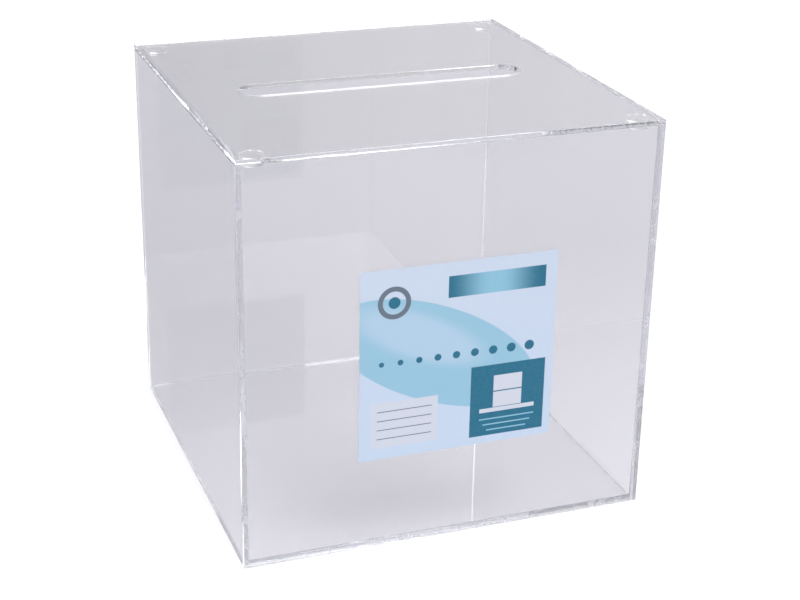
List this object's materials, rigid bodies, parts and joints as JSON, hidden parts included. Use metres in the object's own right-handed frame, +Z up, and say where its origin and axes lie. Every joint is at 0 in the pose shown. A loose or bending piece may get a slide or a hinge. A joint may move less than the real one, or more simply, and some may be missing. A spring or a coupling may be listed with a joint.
{
  "type": "ballot box",
  "caption": "Clear acrylic ballot box: cemented square box with a loose flat lid, a round-ended voting slot, locating discs under the lid and a square front label.",
  "frame": {"origin": "centre of the underside of the bottom panel, where the box stands", "axes": "+Z up, the front with the label faces -Y, +X to the right as seen from the front"},
  "size_m": [0.21, 0.2102, 0.2055],
  "materials": {
    "clear_sheet": "clear, polished cast acrylic",
    "clear_lid_sheet": "clear, polished cast acrylic",
    "clear_disc": "clear, glossy",
    "label_paper": "smooth printed label, satin"
  },
  "bodies": {
    "box": {"front_panel": "clear_sheet", "back_panel": "clear_sheet", "left_panel": "clear_sheet", "right_panel": "clear_sheet", "bottom_panel": "clear_sheet", "front_label": "label_paper"},
    "lid": {"lid_panel": "clear_lid_sheet", "lid_disc_front_left": "clear_disc", "lid_disc_front_right": "clear_disc", "lid_disc_back_left": "clear_disc", "lid_disc_back_right": "clear_disc"}
  },
  "joints": [
    {"name": "lid_lift", "type": "slide", "parent": "box", "child": "lid", "axis": [0, 0, 1], "range_m": [0, 0.25]}
  ]
}
